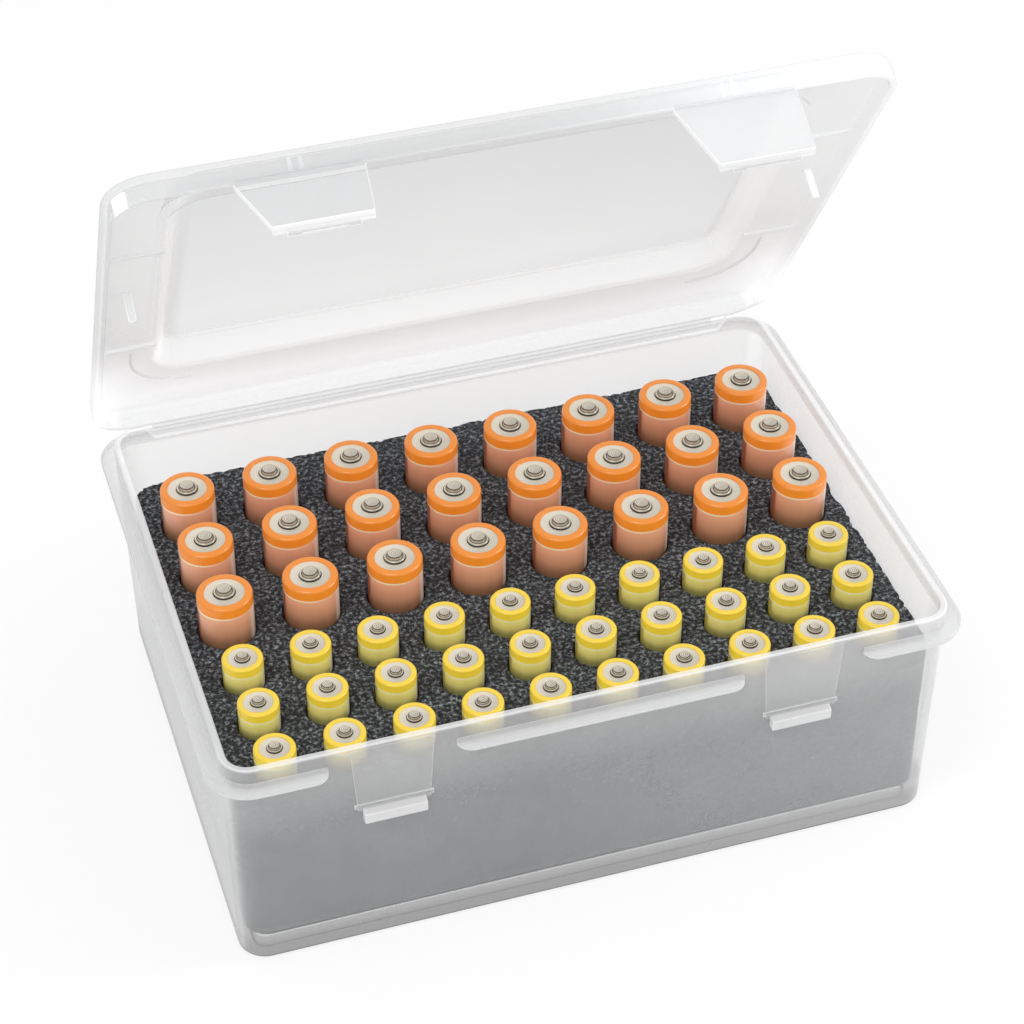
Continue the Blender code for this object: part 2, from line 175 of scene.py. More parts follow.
# Slots of the finishes: on the box, on the lid, whose first two serve the flaps as well, and on a cell.
FACE, EDGE, INSIDE, FOOT, CATCH = range(5)
PANEL = 2
SLEEVE, WASHER, NICKEL, DARK = range(4)

CORNER_STEPS = 10


class Wire:
    """A socket of a material's nodes. Sums on wires add Math nodes."""

    def __init__(self, finish, socket):
        self.finish = finish
        self.socket = socket

    def sum(self, operation, first, second):
        return self.finish.node("Math", {"operation": operation}, {0: first, 1: second})

    def __add__(self, other):
        return self.sum("ADD", self, other)

    __radd__ = __add__

    def __sub__(self, other):
        return self.sum("SUBTRACT", self, other)

    def __rsub__(self, other):
        return self.sum("SUBTRACT", other, self)

    def __mul__(self, other):
        return self.sum("MULTIPLY", self, other)

    __rmul__ = __mul__

    def __truediv__(self, other):
        return self.sum("DIVIDE", self, other)

    def __pow__(self, other):
        return self.sum("POWER", self, other)

    def step(self, low, high):
        """Rises smoothly from 0 at low to 1 at high."""
        return self.finish.node("MapRange", {"interpolation_type": "SMOOTHSTEP"},
                                {"Value": self, "From Min": low, "From Max": high})


class Finish:
    """A material whose nodes are written as expressions on wires."""

    def __init__(self, name):
        self.material = bpy.data.materials.new(name)
        self.material.use_nodes = True
        self.tree = self.material.node_tree
        self.shader = self.tree.nodes["Principled BSDF"]

    def node(self, kind, settings, values, output=0):
        """Add a node, with its settings first and then the values or wires of its sockets."""
        made = self.tree.nodes.new("ShaderNode" + kind)
        for name, value in settings.items():
            setattr(made, name, value)
        for key, value in values.items():
            if isinstance(value, Wire):
                self.tree.links.new(value.socket, made.inputs[key])
            else:
                made.inputs[key].default_value = value
        return Wire(self, made.outputs[output])

    def mix(self, factor, first, second):
        """Mix two colours, each a wire or three numbers."""
        pair = [c if isinstance(c, Wire) else (*c, 1) for c in (first, second)]
        values = {0: factor, 6: pair[0], 7: pair[1]}
        return self.node("Mix", {"data_type": "RGBA"}, values, output=2)

    def place(self):
        """The point on the piece, in its own space."""
        return self.node("TexCoord", {}, {}, output=3)

    def axis(self, name):
        """One coordinate of that point."""
        return self.node("SeparateXYZ", {}, {0: self.place()}, output="XYZ".index(name))

    def grain(self, scale, detail=3.0, roughness=0.6):
        """Smooth noise over the piece, from 0 to 1."""
        values = {"Vector": self.place(), "Scale": scale, "Detail": detail, "Roughness": roughness}
        return self.node("TexNoise", {}, values)

    def specks(self, scale, low, high):
        """Scattered dots, 1 within the distance low of each one's middle and 0 past the distance high."""
        return 1 - self.node("TexVoronoi", {}, {"Vector": self.place(), "Scale": scale}).step(low, high)

    def bump(self, height, distance, strength=1.0):
        """Feed a height to the shader's Normal."""
        made = self.node("Bump", {}, {"Height": height, "Distance": distance, "Strength": strength})
        self.tree.links.new(made.socket, self.shader.inputs["Normal"])

    def set(self, **values):
        """Set the shader's sockets from numbers, colours or wires."""
        for key, value in values.items():
            socket = self.shader.inputs[key.replace("_", " ")]
            if isinstance(value, Wire):
                self.tree.links.new(value.socket, socket)
            elif isinstance(value, tuple):
                socket.default_value = (*value, 1)
            else:
                socket.default_value = value


def shaded(colour, *shares):
    """A colour times one share for all its parts, or one share to each part."""
    parts = shares if len(shares) == 3 else shares * 3
    return tuple(min(1, part * share) for part, share in zip(colour, parts))


def clear_finish(name, colour, haze, edge_haze, gloss=0.22, shine=0.5, glow=0.0, white=0.86, light_paint=None,
                 foot=None, grit=0.0):
    """Frosted clear polypropylene, hazier seen edge on. Painted light makes it hazier and whiter, and where
    glow is given it also glows as a painted glow; with a foot colour, painted shade darkens its left end and
    its foot.
    """
    made = Finish(name)
    facing = made.node("LayerWeight", {}, {"Blend": 0.5}, output=1)
    flow = made.grain(30.0, 3.0, 0.5)
    # The per-point attribute read here is painted light, and each material's own painted light is added to
    # it.
    veil = made.node("Attribute", {"attribute_name": "veil"}, {}, output=2)
    if light_paint:
        veil = veil + light_paint(made)
    haze = haze + (facing ** 2.5) * edge_haze + (flow - 0.5) * 0.04 + veil
    base = made.mix(flow, shaded(colour, 0.95), colour)
    if grit:
        front = (1 - made.axis("Y").step(-0.0635, -0.0615)) * (1 - made.axis("Z").step(0.0530, 0.0560))
        speck = made.specks(520.0, 0.05, 0.24) * made.grain(260.0, 1.0).step(0.45, 0.62) * front
        haze = haze + (made.grain(800.0, 2.0) - 0.5) * front * grit + speck * 0.05
        base = made.mix(speck * 0.4, base, (white, white, white))
    # Painted shade: the box plastic is darker at its left end, and darker and hazier at its foot.
    if foot:
        left_shade_mask = 1 - made.axis("X").step(-0.0945, -0.0880)
        base = made.mix(left_shade_mask * 0.6, base, shaded(colour, 0.72))
        painted_foot_shade = 1 - made.axis("Z").step(0.0045, 0.0105)
        base = made.mix(painted_foot_shade, base, foot)
        haze = haze + painted_foot_shade * 0.35
    # Painted light whitens the plastic.
    whiten = veil * 1.6
    # Painted glow: the plastic emits light where painted light is laid on, less so seen edge on.
    if glow:
        lit = veil * (1.6 - facing * facing * 1.3)
        made.set(Emission_Color=made.mix(lit, (0, 0, 0), (0.96, 0.98, 1.0)), Emission_Strength=glow)
        whiten = whiten * (1 - facing * facing * 0.7)
    base = made.mix(whiten, base, (white, white, white * 1.01))
    made.set(Base_Color=base, Alpha=haze.sum("MINIMUM", haze, 1.0), Roughness=gloss + flow * 0.12,
             Specular_IOR_Level=shine)
    return made.material


def wall_painted_light(made):
    """Painted light and haze: whiter and hazier towards the front wall's rim and right end, and clearer at
    the ends of the other walls.
    """
    height = made.axis("Z")
    across = made.axis("X")
    past_front = made.axis("Y").step(-0.064, -0.050)
    front = 1 - past_front
    behind = past_front * (1 - height.step(0.0595, LEDGE_BOTTOM))
    return (height.step(0.040, 0.0585) * 0.13 * front + height.step(0.0, 0.050) * 0.05
            + across.step(-0.02, 0.095) * 0.10 * front - behind * across.step(0.0885, 0.0912) * 0.24
            - behind * across.step(-0.089, -0.080) * 0.10)


def inside_painted_light(made):
    """Painted light: hazier and whiter on the inside of the back and right walls."""
    return made.axis("Y").step(-0.062, -0.030) * made.axis("X").step(-0.085, 0.0) * 0.07


def lid_painted_light(made):
    """Painted light: hazier and whiter low on the raised lid, and high on it towards its right end."""
    height = made.axis("Z")
    across = made.axis("X").step(-0.01, 0.080)
    low = (1 - height.step(0.078, 0.116)) * (0.17 + height.step(0.0640, 0.0710) * 0.20)
    return across * (0.02 + height.step(0.090, 0.125) * 0.14) + low * (1 - across * 0.2)


def panel_painted_light(made):
    """Painted light: a little hazier and whiter at the foot and the right of the panel."""
    return made.axis("X").step(0.0, 0.080) * 0.04 + (1 - made.axis("Z").step(0.084, 0.106)) * 0.06


def flap_painted_light(made):
    """Painted light: the right flap is hazier and whiter than the left one."""
    return made.axis("X").step(0.0, 0.040) * 0.20 + 0.07


def edge_highlight_finish(name, colour, haze):
    """The same plastic along a rounded edge, painted white and less clear there as a painted highlight."""
    made = Finish(name)
    flow = made.grain(90.0, 3.0, 0.5)
    made.set(Base_Color=colour, Alpha=haze + (flow - 0.5) * 0.2, Roughness=0.20 + flow * 0.12)
    return made.material


def foam_finish(colour):
    """Charcoal foam: torn cell walls that catch light, with dark pores between them."""
    made = Finish("charcoal_foam")
    relief = made.grain(900.0, 1.5) * 0.7 + made.grain(2000.0, 1.0, 0.5) * 0.3
    patch = made.grain(140.0, 2.0).step(0.35, 0.65) * 0.25
    spark = made.specks(900.0, 0.10, 0.30) * relief.step(0.45, 0.62) * 0.8
    base = made.mix(relief.step(0.34, 0.72) ** 2.2, shaded(colour, 0.18), shaded(colour, 5.6))
    base = made.mix(patch, base, shaded(colour, 0.5))
    made.set(Base_Color=made.mix(spark, base, shaded(colour, 8.0)), Roughness=0.92)
    made.bump(relief, 0.0006)
    return made.material


def foam_side_finish(colour):
    """The foam's cut sides, pressed smooth against the box."""
    made = Finish("foam_side")
    soft = made.grain(120.0, 3.0, 0.5).step(0.3, 0.7)
    made.set(Base_Color=made.mix(soft, colour, shaded(colour, 1.5)), Roughness=0.92)
    return made.material


def sleeve_finish(name, size, ring_colour, tones):
    """A printed sleeve: a bright band over the shoulder, painted lighter on the cell's side, a painted
    highlight line under it, a painted highlight down one side and a painted shade strip down the other, and
    painted shade darkening the side towards its seat.
    """
    made = Finish(name)
    top, middle, low, strip, pale_highlight, highlight_line_colour = tones
    height = made.axis("Z")
    across = (made.axis("X") * 0.953 - made.axis("Y") * 0.303) / size.radius
    shoulder = size.length - size.rise
    edge = shoulder - size.band
    rise = edge - size.seat
    band = height.step(edge - 0.0001, edge + 0.0001)
    # A painted highlight line just under the band, strongest on the left.
    highlight_line = height.step(edge - 0.0007, edge - 0.0003) * (1 - band) * (1 - across.step(-0.1, 0.8) * 0.75)
    upright = made.node("Mapping", {}, {"Vector": made.place(), "Scale": (900, 900, 12)})
    streak = made.node("TexNoise", {}, {"Vector": upright, "Scale": 1.0, "Detail": 2.0})
    # Painted shade: the side darkens from the band down to the foam.
    body = made.mix(height.step(size.seat, size.seat + rise * 0.50), low, middle)
    body = made.mix(height.step(size.seat + rise * 0.35, edge), body, top)
    body = made.mix(streak * 0.25, body, shaded(top, 1.15))
    # A painted highlight down one side and a painted shade strip down the other, fixed round the cell.
    body = made.mix(across.step(0.86, 0.97) * 0.75, body, pale_highlight)
    body = made.mix((1 - across.step(-0.92, -0.84)) * 0.9, body, strip)
    # Painted light: the band is lighter on the cell's side than over its shoulder.
    ring = made.mix(height.step(shoulder - 0.0012, shoulder - 0.0001), shaded(ring_colour, 1.22), ring_colour)
    colour = made.mix(band, made.mix(highlight_line, body, highlight_line_colour), ring)
    made.set(Base_Color=colour, Roughness=0.26 + streak * 0.10, Coat_Weight=0.4, Coat_Roughness=0.12)
    made.bump(streak, 0.00004, 0.4)
    return made.material


def metal_finish(name, colour, roughness, metallic):
    """Turned nickel plate with fine rings, and a painted sheen that makes it a little brighter towards one
    side.
    """
    made = Finish(name)
    x = made.axis("X")
    y = made.axis("Y")
    radius = (x * x + y * y) ** 0.5
    rings = made.node("Math", {"operation": "SINE"}, {0: radius * 14000.0})
    fine = made.grain(900.0, 2.0)
    painted_sheen = ((y * 1.25 - x * 0.65) / (radius + 0.0004)).step(-1.2, 1.0)
    bright = rings.step(-1.0, 1.0) * 0.35 + fine * 0.15 + painted_sheen * 0.5
    tone = made.mix(bright, shaded(colour, 0.72), shaded(colour, 1.10))
    made.set(Base_Color=tone, Metallic=metallic, Roughness=roughness + rings * 0.04 + fine * 0.06)
    made.bump(rings * 0.7 + fine * 0.3, 0.00001, 0.3)
    return made.material


def floor_finish(colour):
    """A pale floor that keeps the case's shadow and shows white to the camera."""
    made = Finish("studio_floor")
    rays = made.tree.nodes.new("ShaderNodeLightPath")
    seen = Wire(made, rays.outputs["Is Camera Ray"])
    for kind in ("Is Glossy Ray", "Is Transmission Ray"):
        seen = seen.sum("MAXIMUM", seen, Wire(made, rays.outputs[kind]))
    made.set(Base_Color=colour, Roughness=0.9, Specular_IOR_Level=0.0)
    glow = made.node("Emission", {}, {"Color": (1, 1, 1, 1), "Strength": 1.0})
    body = Wire(made, made.shader.outputs[0])
    mixed = made.node("MixShader", {}, {0: seen * FLOOR_GLOW, 1: body, 2: glow})
    made.tree.links.new(mixed.socket, made.tree.nodes["Material Output"].inputs["Surface"])
    return made.material


def new_piece(name, shape, body, finishes, place=None, angle=35):
    """Turn a bmesh into a smooth piece that rides on a body."""
    bmesh.ops.recalc_face_normals(shape, faces=shape.faces)
    mesh = bpy.data.meshes.new(name)
    shape.to_mesh(mesh)
    shape.free()
    mesh.shade_smooth()
    mesh.set_sharp_from_angle(angle=math.radians(angle))
    for finish in finishes:
        mesh.materials.append(finish)
    if place is not None:
        mesh.transform(place)
    piece = bpy.data.objects.new(name, mesh)
    bpy.context.scene.collection.objects.link(piece)
    if body is not None:
        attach(piece, body)
    return piece


def rounded_ring(x_range, y_range, radius, height, stops=()):
    """Points round a rounded rectangle, anticlockwise from the front right corner."""
    x0, x1 = x_range
    y0, y1 = y_range
    points = []
    for cx, cy, start in ((x1 - radius, y0 + radius, -90), (x1 - radius, y1 - radius, 0),
                          (x0 + radius, y1 - radius, 90), (x0 + radius, y0 + radius, 180)):
        for step in range(CORNER_STEPS + 1):
            turn = math.radians(start + 90 * step / CORNER_STEPS)
            points.append((cx + radius * math.cos(turn), cy + radius * math.sin(turn), height))
        if start == 0:
            points += [(x, y1, height) for x in reversed(stops)]
    return points + [(x, y0, height) for x in stops]


def ring_turns(stop_count):
    """The outward direction, in degrees, at each point of a rounded ring."""
    corner = [90 * step / CORNER_STEPS for step in range(CORNER_STEPS + 1)]
    turns = [turn - 90 for turn in corner] + corner + [90] * stop_count
    return turns + [turn + 90 for turn in corner] + [turn + 180 for turn in corner] + [270] * stop_count


def loft(rings, capped=(True, True), closed=True, row_tags=None, cap_tag=0, veil=None, shape=None):
    """Skin a row of rings, each with as many points. Tags pick the finishes, and a function gives each point
    its painted light.
    """
    if shape is None:
        shape = bmesh.new()
    painted_layer = shape.verts.layers.float.get("veil") or shape.verts.layers.float.new("veil")
    rows = [[shape.verts.new(point) for point in ring] for ring in rings]
    if veil:
        for row, verts in enumerate(rows):
            for n, vert in enumerate(verts):
                vert[painted_layer] = veil(row, n)
    count = len(rows[0])
    for row, (low, high) in enumerate(zip(rows, rows[1:])):
        for n in range(count if closed else count - 1):
            face = shape.faces.new((low[n], low[(n + 1) % count], high[(n + 1) % count], high[n]))
            if row_tags:
                face.material_index = row_tags[row]
    if capped[0]:
        shape.faces.new(list(reversed(rows[0]))).material_index = cap_tag
    if capped[1]:
        shape.faces.new(rows[-1]).material_index = cap_tag
    return shape


def arc(first, across, second, up, steps=4, back=False):
    """Points round a quarter turn, from (first + across, second) to (first, second + up), or back."""
    turns = [math.radians(90 * step / steps) for step in range(steps + 1)]
    points = [(first + across * (1 - math.sin(turn)), second + up * (1 - math.cos(turn))) for turn in turns]
    return points[::-1] if back else points


def box_ring(inset, height):
    """A ring of the box, inset from its neck, with the wall's draft and the rim lowered at the hinge."""
    run = [HINGE_X + RIM_EASE * share for share in (0, 0.25, 0.5, 0.75, 1)]
    stops = [-x for x in reversed(run)] + run
    off = inset + DRAFT * (1 - height / RIM_TOP)
    ring = rounded_ring((-NECK_X + off, NECK_X - off), (-NECK_Y + off, NECK_Y - off),
                        max(NECK_RADIUS - inset, 0.0008), height, stops)
    if height < LEDGE_TOP:
        return ring
    lowered = []
    for x, y, z in ring:
        share = max(0.0, min(1.0, (abs(x) - HINGE_X) / RIM_EASE)) if y > NECK_Y - off - 0.0001 else 1.0
        drop = (RIM_TOP - LEDGE_TOP - RIM_LEFT) * (1 - share * share * (3 - 2 * share))
        lowered.append((x, y, z - drop))
    return lowered


def box_shape(rim_round):
    """The box as one skin: floor, inside wall, rim, neck, outside wall and foot ring."""
    half = FOOT_ROUND * 0.5
    straight = (RIM_TOP - rim_round - 0.0004, LEDGE_BOTTOM - 0.0006, LEDGE_BOTTOM - 0.0040, 0.0030)
    runs = (
        (INSIDE, (0, 0, 0, 0, 0), arc(WALL, FLOOR_FILLET, FLOOR_TOP, FLOOR_FILLET)),
        # The rim's rounding, inside and out, has a painted highlight.
        (INSIDE, (0.02, 0.08, 0.22, 0.34, 0.40), arc(WALL, -rim_round, RIM_TOP, -rim_round, back=True)),
        (FACE, (0.40, 0.40, 0.36, 0.18, 0.03), arc(0, rim_round, RIM_TOP, -rim_round)),
        (FACE, (0, 0, 0, 0), [(0, height) for height in straight]),
        (FOOT, (0, 0, 0, 0, 0), arc(0, FOOT_ROUND, 0, FOOT_ROUND, back=True)),
        (FOOT, (0, 0, 0), arc(FOOT_WIDTH - FOOT_LIP, FOOT_LIP, 0, FOOT_LIP, 2)),
        (INSIDE, (0, 0, 0), arc(FOOT_WIDTH, half, FOOT_LIFT, -half, 2, back=True)))
    rings = [box_ring(*point) for _, _, run in runs for point in run]
    tags = [tag for tag, _, run in runs for _ in run]
    painted_light_rows = [veil for _, run, _ in runs for veil in run]
    below_ledge = range(16, 19)
    turns = ring_turns(10)

    def veil(row, n):
        """The painted light at a point, with a painted highlight streaking down each upright corner at the
        front.
        """
        streak = 0.0
        if row in below_ledge:
            streak = 0.20 * math.exp(-((turns[n] - 205) / 11) ** 2)
            streak += 0.14 * math.exp(-((turns[n] + 27) / 14) ** 2)
        return painted_light_rows[row] + streak
    return loft(rings, row_tags=tags, veil=veil)


def ledge_path(side):
    """Points and outward directions along the ledge: the front middle run, or all the rest of it."""
    gap = FLAP_ROOT + GAP
    ease = [x for x, _ in arc(0, REACH, 0, REACH, 6, back=True)]
    if side == "middle":
        half = LATCH_X - gap
        xs = [-half + e for e in ease] + [half - e for e in reversed(ease)]
        return [((x, -NECK_Y), (0, -1)) for x in xs]
    start = LATCH_X + gap
    path = [((start + e, -NECK_Y), (0, -1)) for e in ease]
    ring = rounded_ring((-NECK_X, NECK_X), (-NECK_Y, NECK_Y), NECK_RADIUS, 0)
    for (x, y, _), turn in zip(ring, ring_turns(0)):
        path.append(((x, y), (math.cos(math.radians(turn)), math.sin(math.radians(turn)))))
    return path + [((-start - e, -NECK_Y), (0, -1)) for e in reversed(ease)]


def ledge_shape(side, edge_round):
    """The ledge swept along its path, drawn in round at each latch, with a painted highlight along its lower
    edge.
    """
    path = ledge_path(side)
    ends = [Vector(path[0][0]), Vector(path[-1][0])]
    section = [(0.0, LEDGE_TOP, 0.06), (0.0005, LEDGE_TOP, -0.06)]
    section += [(*point, -0.02) for point in arc(REACH, -edge_round, LEDGE_TOP, -edge_round, 3)]
    lower = arc(REACH, -edge_round, LEDGE_BOTTOM, edge_round, 3, back=True)
    section += [(*point, light_paint) for point, light_paint in zip(lower, (0.03, 0.30, 0.80, 0.40))]
    section.append((0.0, LEDGE_BOTTOM, 0.0))
    rings = []
    for (x, y), (ox, oy) in path:
        away = min((Vector((x, y)) - end).length for end in ends)
        near = y < -NECK_Y + 0.0001
        share = math.sqrt(max(0.0, 1 - (1 - min(1.0, away / REACH)) ** 2)) if near else 1.0
        share = max(share, 0.04)
        rings.append([(x + ox * out * share, y + oy * out * share, z) for out, z, _ in section])
    return loft(rings, closed=False, capped=(False, False), veil=lambda row, n: section[n][2])


def bevelled_block(corners, width, segments=2, open_faces=(), tag=FACE, edge_tag=EDGE, veil=0.0):
    """A block from eight corners, low ring then high ring, with rounded edges in their own finish and an even
    amount of painted light.
    """
    shape = bmesh.new()
    painted_layer = shape.verts.layers.float.new("veil")
    verts = [shape.verts.new(point) for point in corners]
    for n in range(4):
        shape.faces.new((verts[n], verts[(n + 1) % 4], verts[4 + (n + 1) % 4], verts[4 + n]))
    shape.faces.new(verts[3::-1])
    shape.faces.new(verts[4:])
    bmesh.ops.recalc_face_normals(shape, faces=shape.faces)
    for face in shape.faces:
        face.material_index = tag
    bmesh.ops.bevel(shape, geom=shape.edges[:], offset=width, segments=segments, profile=0.5, affect="EDGES",
                    clamp_overlap=True, material=edge_tag)
    for vert in shape.verts:
        vert[painted_layer] = veil
    shape.normal_update()
    back = [face for face in shape.faces if any(face.normal.dot(Vector(out)) > 0.98 for out in open_faces)]
    bmesh.ops.delete(shape, geom=back, context="FACES")
    return shape


def bar_corners(x_low, x_high, section):
    """Eight corners of a bar along X from a four-cornered (y, z) section."""
    return [(x_low, y, z) for y, z in section] + [(x_high, y, z) for y, z in section]


def box_corners(x_range, y_range, z_range, taper=0.0):
    """Eight corners of an upright block that draws in below."""
    (x0, x1), (y0, y1) = x_range, y_range
    return [(x, y, z) for z, t in zip(z_range, (taper, 0))
            for x, y in ((x0 + t, y0 + t), (x1 - t, y0 + t), (x1 - t, y1 - t), (x0 + t, y1 - t))]


def pad_shapes(x):
    """The latch pad, its foot lip and the catch bar below it."""
    behind = (0, 1, 0)
    plate = [(x + side * half, y, z) for half, z in ((PAD_HALF_FOOT, PAD_FOOT), (PAD_HALF_TOP, PAD_TOP))
             for side, y in ((-1, PAD_FACE), (1, PAD_FACE), (1, PAD_ROOT), (-1, PAD_ROOT))]
    # The pad gets a little painted light.
    yield "pad", bevelled_block(plate, 0.00012, open_faces=(behind, (0, 0, 1)), tag=INSIDE, edge_tag=FACE,
                                veil=0.05)
    lip = bar_corners(x - PAD_HALF_FOOT - LIP_OVERHANG, x + PAD_HALF_FOOT + LIP_OVERHANG,
                      [(PAD_FACE, LIP_FOOT), (PAD_ROOT, LIP_FOOT), (PAD_ROOT, LIP_TOP), (PAD_FACE, LIP_TOP)])
    yield "pad_lip", bevelled_block(lip, 0.00015, open_faces=(behind,))
    bar = bar_corners(x - CATCH_HALF, x + CATCH_HALF, [(CATCH_FACE, CATCH_FOOT), (PAD_ROOT, CATCH_FOOT),
                                                       (PAD_ROOT, LIP_FOOT), (CATCH_FACE, PAD_FOOT)])
    yield "catch", bevelled_block(bar, 0.0003, segments=3, open_faces=(behind,), tag=CATCH)


def lid_border_ring(inset, height):
    """A ring of the lid's skirt or border, in the lid's own space."""
    return rounded_ring((-HALF_LENGTH + inset, HALF_LENGTH - inset), (LID_FRONT + inset, LID_BACK - inset),
                        LID_RADIUS - min(inset, 0.009), height, LID_STOPS)


def lid_panel_ring(inset, height):
    """A ring of the raised panel, in the lid's own space."""
    return rounded_ring((-PANEL_X + inset, PANEL_X - inset), (PANEL_Y[0] + inset, PANEL_Y[1] - inset),
                        max(PANEL_RADIUS - inset, 0.002), height, LID_STOPS)


def slope_points(inset, base):
    """Points up the panel's slope, eased at its root and crest."""
    steps = ((-0.16, 0.0), (0.0, 0.02), (0.12, 0.09), (0.5, 0.5), (0.88, 0.91), (1.0, 0.98), (1.16, 1.0))
    return [(inset + PANEL_SLOPE * run, base + PANEL_RISE * rise) for run, rise in steps]


def lid_turns():
    """The outward direction, in degrees, and the place along X of each point of a lid ring."""
    turns = ring_turns(len(LID_STOPS))
    places = [0.090 * math.cos(math.radians(turn)) for turn in turns]
    back = 2 * (CORNER_STEPS + 1)
    places[back:back + len(LID_STOPS)] = reversed(LID_STOPS)
    places[-len(LID_STOPS):] = LID_STOPS
    return list(zip(turns, places))


def lid_shape(edge_round, top_round):
    """The lid as one skin: inside panel, border and skirt, then outside skirt, border and panel."""
    bend = max(top_round - LID_WALL, 0.0006)
    half = min(edge_round, LID_WALL / 2)
    # Painted light up the panel's slope, strongest half way up; the border and skirt rows below get painted
    # light too.
    slope = (0.0, 0.12, 0.34, 0.44, 0.34, 0.12, 0.0)
    runs = (
        (lid_panel_ring, slope, slope_points(LID_WALL, LID_INSIDE)[::-1]),
        (lid_border_ring, (0.0, 0.02, 0.03, 0.02), arc(LID_WALL, bend, LID_INSIDE, -bend, 3)),
        (lid_border_ring, (0.02, 0.06, 0.12, 0.15), arc(LID_WALL, -half, LID_EDGE, half, 3, back=True)),
        (lid_border_ring, (0.15, 0.12, 0.06, 0.02), arc(0, half, LID_EDGE, half, 3)),
        (lid_border_ring, (0.02, 0.03, 0.05, 0.05, 0.03, 0.0),
         arc(0, top_round, LID_TOP, -top_round, 5, back=True)),
        (lid_panel_ring, slope, slope_points(0.0, LID_TOP)))
    rings = [make(*point) for make, _, run in runs for point in run]
    rows = [(make, value) for make, values, _ in runs for value in values]
    turns = lid_turns()
    inside_skirt = (10, 11)

    def veil(row, n):
        """The painted light at a point: painted light on the slopes at the left, and a painted glint in the
        skirt's front left corner.
        """
        make, value = rows[row]
        turn, place = turns[n]
        left = max(0.0, -math.cos(math.radians(turn)))
        front = max(0.0, -math.sin(math.radians(turn)))
        back = max(0.0, math.sin(math.radians(turn)))
        if make is lid_panel_ring:
            share = min(1.0, 0.16 + 0.84 * left ** 2 + 0.10 * front) * (1 - back)
            return value * share - 0.20 * back if row < len(slope) else -0.12
        if row in inside_skirt and 206 < turn < 227:
            return 0.85
        if row in inside_skirt and (115 < turn < 128 or 43 < turn < 56):
            return 0.02
        # Painted light towards the front middle, and clearer towards the back.
        bright = front ** 4 * max(0.0, min(1.0, (place + 0.05) / 0.10))
        tint = 0.03 * front + 0.02 * bright - 0.08 * back if value else 0.0
        return value * (0.6 + 0.4 * left) + tint
    return loft(rings, row_tags=[FACE] * len(rings), cap_tag=PANEL, veil=veil)


def corner_rib_shape(sign):
    """A fine ridge that curves round a back corner of the panel, a little way out from its root."""
    radius = PANEL_RADIUS + CORNER_RIB_OUT
    reach = sign * radius
    cx, cy = sign * (PANEL_X - PANEL_RADIUS), PANEL_Y[1] - PANEL_RADIUS
    path = [(cx + reach, cy - 0.0060)] + arc(cx + reach, -reach, cy + radius, -radius, 10, back=True)
    root, crest = LID_INSIDE + 0.0001, LID_INSIDE - 0.0005
    rings = []
    for x, y in path:
        out = Vector((x - cx, max(y - cy, 0.0))).normalized() * 0.00035
        rings.append([(x + out.x * side, y + out.y * side, z)
                      for side, z in ((-1, root), (-0.4, crest), (0.4, crest), (1, root))])
    # Its painted light is below zero, which makes the ridge clearer and less white.
    return loft(rings, veil=lambda row, n: -0.22)


def lid_detail_shapes():
    """Ribs across the side borders, locating tabs, corner ridges and the gussets over the latches."""
    above = ((0, 0, 1),)
    sunk = LID_INSIDE + 0.0002
    for side, sign in (("left", -1), ("right", 1)):
        near, far, thin, thick = sign * RIB_NEAR, sign * RIB_FAR, 0.0004, 0.0009
        for name, share in RIB_SHARES.items():
            y = LID_BACK - LID_DEPTH * share
            ends = ((near, y - thin), (far, y - thick), (far, y + thick), (near, y + thin))
            corners = [(a, b, z) for z in (LID_INSIDE - 0.0008, sunk) for a, b in ends]
            # Painted light: the left ribs are whiter than the right ones; the tabs and gussets get painted
            # light too.
            veil = 0.10 if sign < 0 else 0.03
            rib = bevelled_block(corners, 0.0003, segments=3, open_faces=above, edge_tag=FACE, veil=veil)
            yield f"rib_{side}_{name}", rib
        y = LID_BACK - LID_DEPTH * TAB_SHARE
        x_range = sorted(sign * x for x in TAB_X)
        corners = box_corners(x_range, (y - 0.0007, y + 0.0007), (TAB_FOOT, sunk), 0.0003)
        yield f"tab_{side}", bevelled_block(corners, 0.0003, open_faces=above, veil=0.12)
        yield f"corner_rib_{side}", corner_rib_shape(sign)
        for step in (-1, 1):
            x = sign * LATCH_X + step * GUSSET_STEP
            y_range = (LID_FRONT + 0.0016, LID_FRONT + 0.0027)
            corners = box_corners((x - 0.00045, x + 0.00045), y_range, (0.0020, sunk))
            gusset = bevelled_block(corners, 0.0002, open_faces=above, edge_tag=FACE, veil=0.18)
            yield f"gusset_{side}_{step + 1}", gusset


def flap_shape():
    """A latch flap: a plate that tapers from its fold to its free edge, with a painted highlight along its
    cut edges.
    """
    corners = [(side * half, y, z) for half, z in ((FLAP_FOOT, FLAP_END), (FLAP_ROOT, -LID_EDGE))
               for side, y in ((-1, 0), (1, 0), (1, FLAP_THICK), (-1, FLAP_THICK))]
    shape = bevelled_block(corners, 0.00025, segments=3)
    for face in shape.faces:
        if face.normal.x > 0.5:
            face.material_index = FACE
        elif abs(face.normal.y) < 0.5:
            face.material_index = EDGE
    return shape


